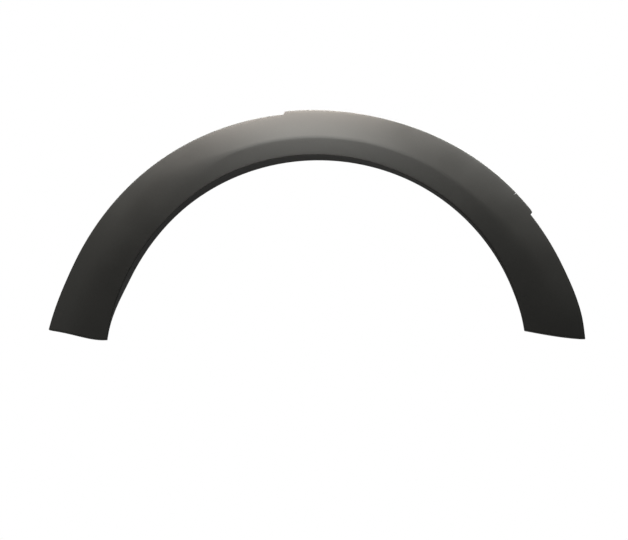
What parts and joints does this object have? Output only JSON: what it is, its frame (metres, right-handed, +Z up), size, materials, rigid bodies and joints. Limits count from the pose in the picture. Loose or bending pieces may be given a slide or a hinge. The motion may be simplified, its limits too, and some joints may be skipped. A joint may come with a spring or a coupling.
{
  "type": "wheel arch trim",
  "caption": "Arched one-piece plastic trim that frames a car's wheel opening, with a creased face, an outer hem, a return flange and clip towers on the back.",
  "frame": {"origin": "centre of the crown clip's seat, in the plane where the trim meets the body panel", "axes": "+X along the car to the right of the visible face, +Z up, -Y out of the visible face"},
  "size_m": [0.8758, 0.0637, 0.386],
  "materials": {
    "trim_plastic": "unpainted, finely grained, dark charcoal"
  },
  "bodies": {
    "root": {"arch_trim": "trim_plastic"}
  },
  "joints": []
}
